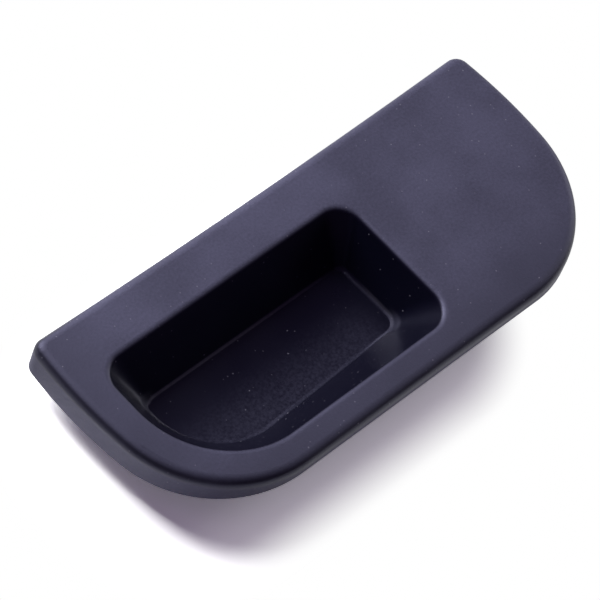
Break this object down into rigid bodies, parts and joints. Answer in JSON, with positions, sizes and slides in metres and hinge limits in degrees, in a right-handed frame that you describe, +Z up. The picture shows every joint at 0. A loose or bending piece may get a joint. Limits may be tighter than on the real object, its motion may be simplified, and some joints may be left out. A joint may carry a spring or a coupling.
{
  "type": "hood release handle",
  "caption": "Flat moulded plastic hood release handle with an offset finger pocket, a rolled edge, and pivot ears and a cable seat underneath.",
  "frame": {"origin": "bottom centre of the whole part, level with the flat bottom of the finger pocket it rests on", "axes": "+X along the handle to the plain end with the pivot, +Y to the straight back edge, +Z up out of the face"},
  "size_m": [0.12, 0.0509, 0.0132],
  "materials": {
    "moulding": "fine matte grain"
  },
  "bodies": {
    "root": {"handle": "moulding"}
  },
  "joints": []
}
